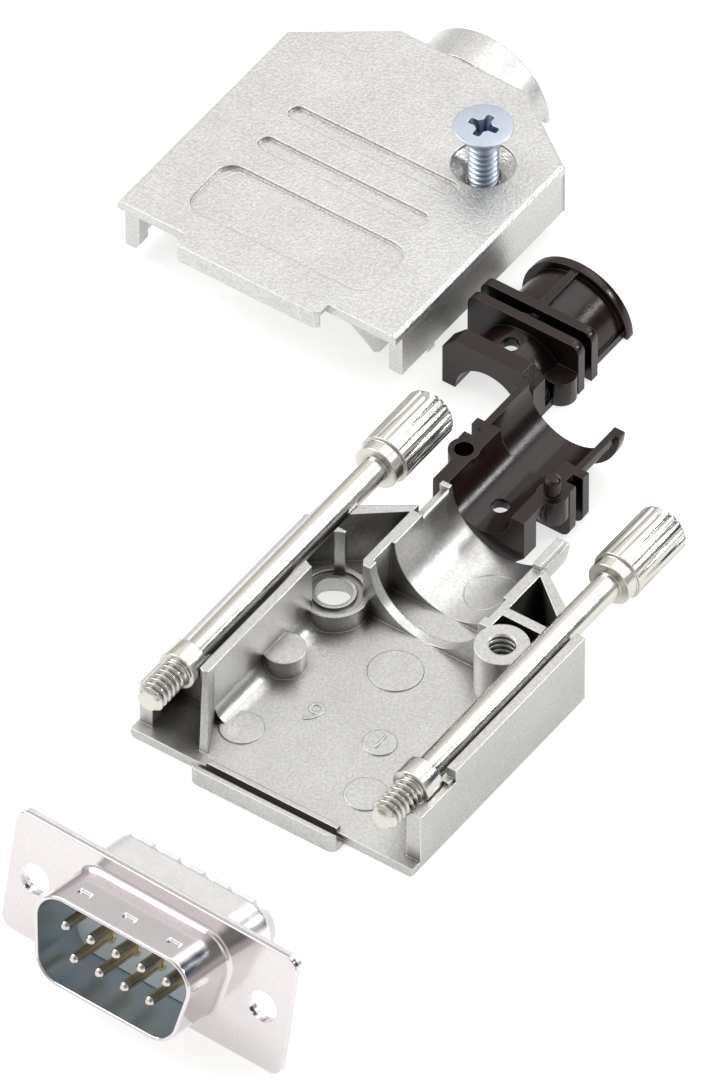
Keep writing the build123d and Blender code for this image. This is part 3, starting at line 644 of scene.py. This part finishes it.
def jackscrew(node, material):
    """Rings along Y round the screw's axis: radius is the turned profile, less the thread's
    groove in front and the flutes on the head, a cosine wave cut off at 0 and at 1."""
    low, high = (np.array(corner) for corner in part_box(node))
    axis_x, axis_z = (low[0] + high[0]) / 2, (low[2] + high[2]) / 2
    total = high[1] - low[1]
    collar_end = jack_thread + collar_length
    rod_end = total - head_length - neck_length
    neck_end = rod_end + neck_length
    profile = rounded_steps(
        [(0, thread_radius - jack_tip), (jack_tip, thread_radius), (jack_thread, thread_radius),
         (jack_thread, collar_radius), (collar_end, collar_radius), (collar_end, rod_radius),
         (rod_end, rod_radius), (rod_end, neck_radius), (neck_end, neck_radius),
         (neck_end, head_radius), (total - head_round, head_radius),
         (total, head_radius - head_round)],
        small_round,
    )
    turns = np.arange(jack_tip, jack_thread - small_round, thread_pitch / thread_rings)
    profile = profile[(profile[:, 0] < jack_tip / 2) | (profile[:, 0] > turns[-1])]
    thread = np.c_[turns, np.full(len(turns), thread_radius)]
    profile = np.concatenate([profile[:1], thread, profile[1:]])
    along, radius = profile[:, :1], profile[:, 1:]
    angle = np.linspace(0, 2 * np.pi, jack_around, endpoint=False)[None]
    run_out = np.clip((jack_thread - along) / thread_pitch, 0, 1)
    run_in = np.clip(along / jack_tip, thread_start, 1)
    groove = thread_groove(along, angle) * (run_out * run_in)
    groove[along[:, 0] > jack_thread - small_round / 2] = 0
    on_head = np.clip((along - neck_end - small_round) / (2 * small_round), 0, 1)
    bumps = flute_wave[0] * np.cos(flute_count * angle) - flute_wave[1]
    flute = flute_depth * on_head * np.clip(bumps, 0, 1)
    reach = radius - groove - flute * (radius > head_radius - flute_foot)
    rings = np.stack([
        axis_x + reach * np.sin(angle), np.broadcast_to(low[1] + along, reach.shape),
        axis_z + reach * np.cos(angle),
    ], -1)
    piece = ring_surface(
        node + "_finish", rings, material, node, (node,), thread_sharp,
    )
    bar = np.array([(-1, -1), (1, -1), (1, 1), (-1, 1)])
    bar_x = axis_x + bar[:, 0] * slot_width / 2
    bar_z = axis_z + bar[:, 1] * 2 * head_radius
    slot = [
        np.c_[bar_x, np.full(4, y), bar_z] for y in (high[1] - slot_depth, high[1] + cut_margin)
    ]
    cut_with(piece, np.array(slot), thread_sharp)


turned_nickel, turned_shader, _ = grained_material(
    "turned_nickel", jack_light, jack_dark, gloss=(0.16, 0.26), metallic=1.0,
    sizes=(0.15 * mm, 2.0 * mm, 6 * mm), depths=(0.0, 0.002 * mm),
)
# Painted highlight on the edges, partly rubbed bright, and painted shade in the thread's roots, the
# flutes and the slot.
paint_edge_highlight_and_shade(
    turned_nickel, turned_shader, edge_radius=0.05 * mm, rubbed_edge_highlight=jack_rubbed_edge_highlight,
    reach=0.8 * mm, painted_shade=groove_painted_shade, most=0.95,
)
for node in ("left_jackscrew", "right_jackscrew"):
    jackscrew(node, turned_nickel)


# Hood screws: cold-headed, countersunk, 4-40, blue zinc plated, with a cross recess. One stands
# in the cover's hole on its tip, the other lies on the table.
zinc_light = (0.54, 0.58, 0.66, 1)
zinc_dark = (0.48, 0.525, 0.61, 1)
# the edges' painted highlight, and the dark blue painted shade of the cross recess and thread roots
zinc_rubbed_edge_highlight = (0.74, 0.78, 0.85, 1)
recess_painted_shade = (0.10, 0.165, 0.28, 1)
screw_around = 96
screw_length = 12.7 * mm
screw_head_radius = 2.75 * mm
screw_head_edge = 0.25 * mm
screw_middle = 0.3 * mm
cross_half = 1.5 * mm
cross_arm = 0.38 * mm
cross_corner = 0.14 * mm
cross_web = 1.9 * cross_arm
cross_depth = 1.5 * mm
cross_flare = 0.38 * mm
cross_narrow = 0.55


def hood_screw(node, head, down, across, material):
    """Rings from the head's flat down the shank: head is the middle of the flat, down the unit
    vector along the shank, and across the one square to it along which the cross recess lies."""
    cone_end = screw_head_edge + screw_head_radius - thread_radius
    profile = rounded_steps(
        [(0, screw_middle), (0, screw_head_radius), (screw_head_edge, screw_head_radius),
         (cone_end, thread_radius), (screw_length - jack_tip, thread_radius),
         (screw_length, thread_radius - jack_tip)],
        small_round,
    )
    start = cone_end + small_round
    turns = np.arange(start, screw_length - jack_tip, thread_pitch / thread_rings)
    before = profile[profile[:, 0] < start]
    thread = np.c_[turns, np.full(len(turns), thread_radius)]
    profile = np.concatenate([before, thread, profile[-1:]])
    along, radius = profile[:, :1], profile[:, 1:]
    angle = np.linspace(0, 2 * np.pi, screw_around, endpoint=False)[None]
    run_out = np.clip((along - start) / thread_pitch, 0, 1)
    run_in = np.clip((screw_length - along) / jack_tip, thread_start, 1)
    reach = radius - thread_groove(along, angle) * (run_out * run_in)
    beside = np.cross(down, across)
    rings = (
        head + along[..., None] * down
        + (reach * np.cos(angle))[..., None] * across + (reach * np.sin(angle))[..., None] * beside
    )
    piece = ring_surface(
        node + "_finish", rings, material, "root", (node,), thread_sharp,
    )
    arm, span, corner = cross_arm, cross_half, cross_corner
    quarter = np.array([
        (span - corner, -arm), (span, corner - arm), (span, arm - corner), (span - corner, arm),
        (cross_web, arm), (arm, cross_web),
    ])
    right_angle = np.array([[0, -1], [1, 0]])
    outline = np.concatenate([quarter @ np.linalg.matrix_power(right_angle, n).T for n in range(4)])
    ends = ((-cut_margin, 1 + cross_flare / cross_depth), (cross_depth, cross_narrow))
    cross = [
        head + depth * down + scale * (outline[:, :1] * across + outline[:, 1:] * beside)
        for depth, scale in ends
    ]
    cut_with(piece, np.array(cross), thread_sharp)


blue_zinc, zinc_shader, _ = grained_material(
    "blue_zinc", zinc_light, zinc_dark, gloss=(0.28, 0.38), metallic=1.0,
    sizes=(0.2 * mm, 1.0 * mm, 3 * mm), depths=(0.003 * mm, 0.004 * mm),
)
# Painted highlight on the edges, partly rubbed bright, and dark blue painted shade in the recess
# and thread roots.
paint_edge_highlight_and_shade(
    blue_zinc, zinc_shader, edge_radius=0.08 * mm, rubbed_edge_highlight=zinc_rubbed_edge_highlight,
    reach=0.8 * mm, painted_shade=recess_painted_shade, most=0.9,
)
standing_low, standing_high = (np.array(corner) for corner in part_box("cover_screw"))
standing_head = np.array([*(standing_low + standing_high)[:2] / 2, standing_high[2]])
standing_across = np.array([0.995, 0.1, 0])
hood_screw("cover_screw", standing_head, np.array([0, 0, -1.0]), standing_across, blue_zinc)
lying = np.arctan2(screw_head_radius - thread_radius, screw_length - screw_head_edge)
lying_low, lying_high = (np.array(corner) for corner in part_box("second_cover_screw"))
lying_head = np.array([
    (lying_low[0] + lying_high[0]) / 2,
    lying_high[1] - screw_head_radius * np.sin(lying),
    screw_head_radius * np.cos(lying),
])
hood_screw(
    "second_cover_screw", lying_head, -np.array([0, np.cos(lying), np.sin(lying)]),
    np.array([1.0, 0, 0]), blue_zinc,
)


# Cable clamp: two halves moulded in brown-black plastic, with a low sheen, edges made pale by
# wear and a painted highlight, and near-black painted shade in the recesses.
# Pegs and sockets join them round the cable, and the hood's seat keeps them there.
clamp_edge = 0.12 * mm
clamp_light = (0.021, 0.0092, 0.0075, 1)
clamp_dark = (0.010, 0.0046, 0.0036, 1)
# pale painted highlight for the edges, and near-black painted shade for the recesses
clamp_rubbed_edge_highlight = (0.075, 0.060, 0.060, 1)
clamp_painted_shade = (0.001, 0.001, 0.001, 1)
clamp_specular = 0.34
moulded_sharp = 35
flat_angle = 0.6


def rounded_copy(node, edge, material):
    """A piece that stands for a CAD node: a copy of its mesh with the triangles joined into flat
    faces, and a Bevel that rounds every edge sharper than moulded_sharp by the edge's radius."""
    mesh = nodes[node].data.copy()
    work = bmesh.new()
    work.from_mesh(mesh)
    bmesh.ops.remove_doubles(work, verts=work.verts, dist=merge_distance)
    bmesh.ops.dissolve_limit(
        work, angle_limit=np.radians(flat_angle), verts=work.verts, edges=work.edges,
    )
    for face in work.faces:
        face.smooth = True
    work.to_mesh(mesh)
    work.free()
    if "custom_normal" in mesh.attributes:
        mesh.attributes.remove(mesh.attributes["custom_normal"])
    mesh.materials.clear()
    mesh.materials.append(material)
    piece = bpy.data.objects.new(node + "_finish", mesh)
    bpy.context.scene.collection.objects.link(piece)
    bevel = piece.modifiers.new("worn_edges", "BEVEL")
    bevel.width = edge
    bevel.segments = 2
    bevel.limit_method = "ANGLE"
    bevel.angle_limit = np.radians(moulded_sharp)
    bevel.miter_outer = "MITER_ARC"
    flats = piece.modifiers.new("flat_faces", "WEIGHTED_NORMAL")
    flats.keep_sharp = False
    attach(piece, "root")
    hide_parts(node)


clamp_plastic, clamp_shader, _ = grained_material(
    "clamp_plastic", clamp_light, clamp_dark, gloss=(0.17, 0.23), metallic=0.0,
    sizes=(0.12 * mm, 1.5 * mm, 5 * mm), depths=(0.008 * mm, 0.012 * mm),
)
clamp_shader.inputs["Specular IOR Level"].default_value = clamp_specular
# Painted pale highlight on the edges and near-black painted shade in the recesses.
paint_edge_highlight_and_shade(
    clamp_plastic, clamp_shader, edge_radius=clamp_edge, rubbed_edge_highlight=clamp_rubbed_edge_highlight,
    reach=4.0 * mm, painted_shade=clamp_painted_shade, most=0.97, open_sky=0.92,
)
for node in ("clamp_lower_half", "clamp_upper_half"):
    rounded_copy(node, clamp_edge, clamp_plastic)


# Connector shells: two drawn and tinned steel shells, flange to flange, pressed together round a
# grey-blue and a white moulding. The connector leans back, so its surfaces are worked out upright
# and then turned.
flange_width = 30.81 * mm
flange_height = 12.55 * mm
flange_corner = 1.2 * mm
sheet = 0.5 * mm
sheet_edge = 0.08 * mm
shell_wall = 0.4 * mm
d_slope = np.radians(10)
d_size = (17.3 * mm, 8.36 * mm, 2.4 * mm)
d_depth = 5.8 * mm
d_root = 0.5 * mm
can_size = (19.4 * mm, 10.7 * mm, 3.0 * mm)
can_depth = 4.3 * mm
can_root = 0.3 * mm
outline_points = 400
corner_points = 24
hole_half_pitch = 12.495 * mm
hole_radius = 1.55 * mm
hole_around = 64
dimple_half = (0.62 * mm, 0.34 * mm)
dimple_rim = 1.1
dimple_slope = 0.3
dimple_side = 0.9
dimple_depth = 0.2 * mm
dimple_back = 3.6 * mm
dimple_pitch = 4.9 * mm
flange_mount = next(mount for mount in frame["record"]["mounts"] if mount["name"] == "flange_holes")
flange_origin = np.array(flange_mount["pos_m"])
mating = np.array(flange_mount["axis"]) / np.linalg.norm(flange_mount["axis"])
sideways = np.cross([0, 0, 1], mating) / np.linalg.norm(np.cross([0, 0, 1], mating))
upward = np.cross(mating, sideways)


def outline(size, slope):
    """Corner centres and unit normals at outline_points places along a trapezoid with round
    corners, clockwise from the middle of its top: a point at offset d is
    centre + (corner + d) * normal."""
    width, height, corner = size
    side = (width / 2 - height / 2 * np.tan(slope)) * np.cos(slope)
    turns = np.array([np.pi / 2, -slope, -np.pi / 2, slope - np.pi, -1.5 * np.pi])
    reaches = np.array([height / 2, side, height / 2, side, height / 2]) - corner
    normals = np.stack([np.cos(turns), np.sin(turns)], -1)
    pairs = np.stack([normals[:-1], normals[1:]], 1)
    centres = np.linalg.solve(pairs, np.stack([reaches[:-1], reaches[1:]], -1)[..., None])[..., 0]
    share = np.linspace(0, 1, corner_points)
    swept = turns[:-1, None] + share * np.diff(turns)[:, None]
    middle_top = np.array([[0, height / 2 - corner]])
    path = np.concatenate([middle_top, np.repeat(centres, corner_points, 0), middle_top])
    facing = np.concatenate([[np.pi / 2], swept.ravel(), [-1.5 * np.pi]])
    edge = path + corner * np.stack([np.cos(facing), np.sin(facing)], -1)
    travel = np.concatenate([[0], np.cumsum(np.linalg.norm(np.diff(edge, axis=0), axis=1))])
    at = np.linspace(0, travel[-1], outline_points, endpoint=False)
    centre = np.stack([np.interp(at, travel, path[:, k]) for k in (0, 1)], -1)
    angle = np.interp(at, travel, facing)
    return centre, np.stack([np.cos(angle), np.sin(angle)], -1)


def in_connector(flat, depth):
    """Places points given as (x, z) across the mating face and a depth towards the viewer."""
    return (
        flange_origin + flat[..., :1] * sideways + flat[..., 1:] * upward
        + np.asarray(depth)[..., None] * mating
    )


def dented(flat, normals, depth, places):
    """Moves outline points inwards by flat-bottomed dimples at (x, side) places, on the parts of
    the outline that face to that side: a smooth step from dimple_rim times each rectangle's half
    sizes inwards by dimple_slope."""
    dent = np.zeros(flat.shape[:-1])
    for x, side in places:
        across = np.abs(flat[..., 0] - x) / dimple_half[0]
        along = np.abs(depth - 2 * sheet - dimple_back) / dimple_half[1]
        inside = np.clip((dimple_rim - np.maximum(across, along)) / dimple_slope, 0, 1)
        on_side = side * normals[..., 1] > dimple_side
        dent = np.maximum(dent, np.where(on_side, inside * inside * (3 - 2 * inside), 0))
    return flat - (dent * dimple_depth)[..., None] * normals


def shell(name, size, corner_profile, plate, hide, dimples=()):
    """A drawn shell with its flange, by rings at the (offset, depth, inset) of corner_profile:
    rings of the D at that offset, or of the flange's own outline, pulled in by inset, where the
    offset is None. The last ring joins the first. The attribute inner_wall is 1 inside the D."""
    centre, normal = outline(size, d_slope)
    flange = outline((flange_width, flange_height, flange_corner), 0.0)
    rings = []
    for offset, depth, inset in corner_profile:
        if offset is None:
            flat = flange[0] + (flange_corner - inset) * flange[1]
            rings.append(in_connector(flat, np.full(outline_points, depth)))
            continue
        flat = centre + (size[2] + offset) * normal
        flat = dented(flat, normal, np.full(outline_points, depth), dimples)
        rings.append(in_connector(flat, np.full(outline_points, depth)))
    piece = loop_surface(name, np.array(rings), plate, "root", hide)
    inner = [offset is not None and offset <= -shell_wall for offset, _, _ in corner_profile]
    inner_wall = piece.data.attributes.new("inner_wall", "FLOAT", "POINT")
    inner_wall.data.foreach_set("value", np.repeat(inner, outline_points).astype(np.float32))
    circle = np.linspace(0, 2 * np.pi, hole_around, endpoint=False)
    hole = hole_radius * np.stack([np.cos(circle), np.sin(circle)], -1)
    hole_ends = (-cut_margin, 2 * sheet + cut_margin)
    for side in (-1, 1):
        flat = hole + np.array([side * hole_half_pitch, 0])
        plug = [in_connector(flat, np.full(hole_around, depth)) for depth in hole_ends]
        cut_with(piece, np.array(plug))


tin_light = (0.72, 0.68, 0.688, 1)
tin_dark = (0.68, 0.645, 0.655, 1)
# bright tin: the edges' painted highlight, and also the darker tint of the pale can
tin_rubbed_edge_highlight_and_can_tint = (0.84, 0.82, 0.825, 1)
# painted blue-grey shade for shut-in corners, its reach and largest share
tin_shade = (0.10, 0.13, 0.20, 1)
tin_shade_reach = 0.5 * mm
tin_shade_most = 0.7
# the D's inner walls painted darker and bluer, as shade, and made rougher
painted_inner_shade = (0.50, 0.56, 0.61, 1)
inner_dullness = 0.18
pale_tin = (0.90, 0.89, 0.89, 1)


def tinned_sheet(name, light, dark, gloss):
    """Tinned steel: edges brightened partly as rubbed tin and partly as a painted highlight, a
    painted blue-grey shade in shut-in corners, and a rougher surface painted darker and bluer, as
    shade, where the inner_wall attribute is 1."""
    material, shader, _ = grained_material(
        name, light, dark, gloss, metallic=1.0,
        sizes=(0.25 * mm, 2.2 * mm, 7 * mm), depths=(0.002 * mm, 0.008 * mm),
    )
    tree = material.node_tree
    # Inside the D the colour is painted darker and bluer, as shade, where inner_wall is 1.
    inner = tree.nodes.new("ShaderNodeAttribute")
    inner.attribute_name = "inner_wall"
    inner_shade_mix = tree.nodes.new("ShaderNodeMix")
    inner_shade_mix.data_type = "RGBA"
    inner_shade_mix.inputs["B"].default_value = painted_inner_shade
    tree.links.new(shader.inputs["Base Color"].links[0].from_socket, inner_shade_mix.inputs["A"])
    tree.links.new(inner.outputs["Fac"], inner_shade_mix.inputs["Factor"])
    tree.links.new(inner_shade_mix.outputs["Result"], shader.inputs["Base Color"])
    dull = tree.nodes.new("ShaderNodeMath")
    dull.operation = "MULTIPLY_ADD"
    dull.inputs[1].default_value = inner_dullness
    tree.links.new(inner.outputs["Fac"], dull.inputs[0])
    tree.links.new(shader.inputs["Roughness"].links[0].from_socket, dull.inputs[2])
    tree.links.new(dull.outputs[0], shader.inputs["Roughness"])
    paint_edge_highlight_and_shade(material, shader, sheet_edge, tin_rubbed_edge_highlight_and_can_tint, tin_shade_reach, tin_shade, tin_shade_most)
    return material


front_tin = tinned_sheet("front_tin", tin_light, tin_dark, gloss=(0.11, 0.17))
rear_tin = tinned_sheet("rear_tin", pale_tin, tin_rubbed_edge_highlight_and_can_tint, gloss=(0.24, 0.32))

arc_rings = 7
wall_rings = 12
ring_gap = 0.1 * mm
ring_step = 0.12 * mm
quarter_turn = np.linspace(0, np.pi / 2, arc_rings)
half_turn = np.linspace(0, np.pi, arc_rings)
flange_top, d_top = 2 * sheet, 2 * sheet + d_depth
lip = shell_wall / 2
d_outside = np.arange(flange_top + d_root + ring_gap, d_top - lip, ring_step)
d_inside = np.arange(d_top - lip - ring_gap, flange_top, -ring_step)
front_profile = (
    [(None, sheet, 0.0), (None, flange_top - sheet_edge, 0.0), (None, flange_top, sheet_edge)]
    + [(d_root * (1 - np.sin(a)), flange_top + d_root * (1 - np.cos(a)), 0) for a in quarter_turn]
    + [(0.0, depth, 0) for depth in d_outside]
    + [(lip * (np.cos(a) - 1), d_top - lip + lip * np.sin(a), 0) for a in half_turn]
    + [(-shell_wall, depth, 0) for depth in d_inside]
    + [(-shell_wall, sheet, 0)]
)
outer_d = (d_size[0] + 2 * shell_wall, d_size[1] + 2 * shell_wall, d_size[2] + shell_wall)
front_dimples = [(step * dimple_pitch, 1) for step in (-1, 0, 1)]
shell(
    "front_shell_finish", outer_d, front_profile, front_tin, ("connector_front_shell",),
    front_dimples,
)
can_inside = np.linspace(0, lip - can_depth, wall_rings)
can_outside = np.linspace(lip - can_depth + ring_gap, -can_root - ring_gap, wall_rings)
rear_profile = (
    [(None, sheet_edge, 0.0), (None, sheet, 0.0), (-shell_wall, sheet, 0)]
    + [(-shell_wall, depth, 0) for depth in can_inside]
    + [(-lip - lip * np.cos(a), lip - can_depth - lip * np.sin(a), 0) for a in half_turn]
    + [(0.0, depth, 0) for depth in can_outside]
    + [(can_root * (1 - np.cos(a)), -can_root * (1 - np.sin(a)), 0) for a in quarter_turn]
    + [(None, 0.0, sheet_edge)]
)
shell("rear_shell_finish", can_size, rear_profile, rear_tin, ("connector_rear_shell",))


# Insulators: two glass-filled mouldings, grey-blue in front and white with a scalloped edge
# behind. They hold the contacts, and the shells clamp them from both sides.
moulding_edge = 0.05 * mm
moulding_look = {
    "gloss": (0.38, 0.5), "metallic": 0.0,
    "sizes": (0.15 * mm, 1.5 * mm, 5 * mm), "depths": (0.004 * mm, 0.006 * mm),
}
blue_light = (0.84, 0.92, 0.97, 1)
blue_dark = (0.80, 0.88, 0.93, 1)
white_light = (0.74, 0.74, 0.73, 1)
white_dark = (0.68, 0.68, 0.67, 1)
front_moulding, _, _ = grained_material("front_moulding", blue_light, blue_dark, **moulding_look)
white_moulding, _, _ = grained_material("white_moulding", white_light, white_dark, **moulding_look)
rounded_copy("front_insulator", moulding_edge, front_moulding)
rounded_copy("rear_insulator", moulding_edge, white_moulding)


# Contacts: nine turned brass pins with a gold flash, five above four, pressed into the
# insulators. Their tips are worn bright, and behind each one is bored out as a solder cup.
contact_count = 9
pin_edge = 0.05 * mm
gold_light = (0.66, 0.53, 0.35, 1)
gold_dark = (0.56, 0.44, 0.28, 1)
tip_bright = (0.62, 0.57, 0.53, 1)
tip_length = 0.75 * mm
tip_blend = 0.15 * mm
gold_flash, gold_shader, _ = grained_material(
    "gold_flash", gold_light, gold_dark, gloss=(0.16, 0.26), metallic=1.0,
    sizes=(0.15 * mm, 1.0 * mm, 3 * mm), depths=(0.002 * mm, 0.003 * mm),
)
pin_points = np.array([vertex.co for vertex in nodes["contact_1"].data.vertices])
tip_reach = (pin_points @ mating).max()
gold_tree = gold_flash.node_tree
pin_place = gold_tree.nodes.new("ShaderNodeTexCoord")
pin_depth = gold_tree.nodes.new("ShaderNodeVectorMath")
pin_depth.operation = "DOT_PRODUCT"
pin_depth.inputs[1].default_value = mating
gold_tree.links.new(pin_place.outputs["Object"], pin_depth.inputs[0])
tip_share = gold_tree.nodes.new("ShaderNodeMapRange")
tip_share.inputs["From Min"].default_value = tip_reach - tip_length - tip_blend
tip_share.inputs["From Max"].default_value = tip_reach - tip_length
gold_tree.links.new(pin_depth.outputs["Value"], tip_share.inputs["Value"])
tip_mix = gold_tree.nodes.new("ShaderNodeMix")
tip_mix.data_type = "RGBA"
tip_mix.inputs["B"].default_value = tip_bright
gold_tree.links.new(gold_shader.inputs["Base Color"].links[0].from_socket, tip_mix.inputs["A"])
gold_tree.links.new(tip_share.outputs["Result"], tip_mix.inputs["Factor"])
gold_tree.links.new(tip_mix.outputs["Result"], gold_shader.inputs["Base Color"])
for number in range(1, contact_count + 1):
    rounded_copy(f"contact_{number}", pin_edge, gold_flash)
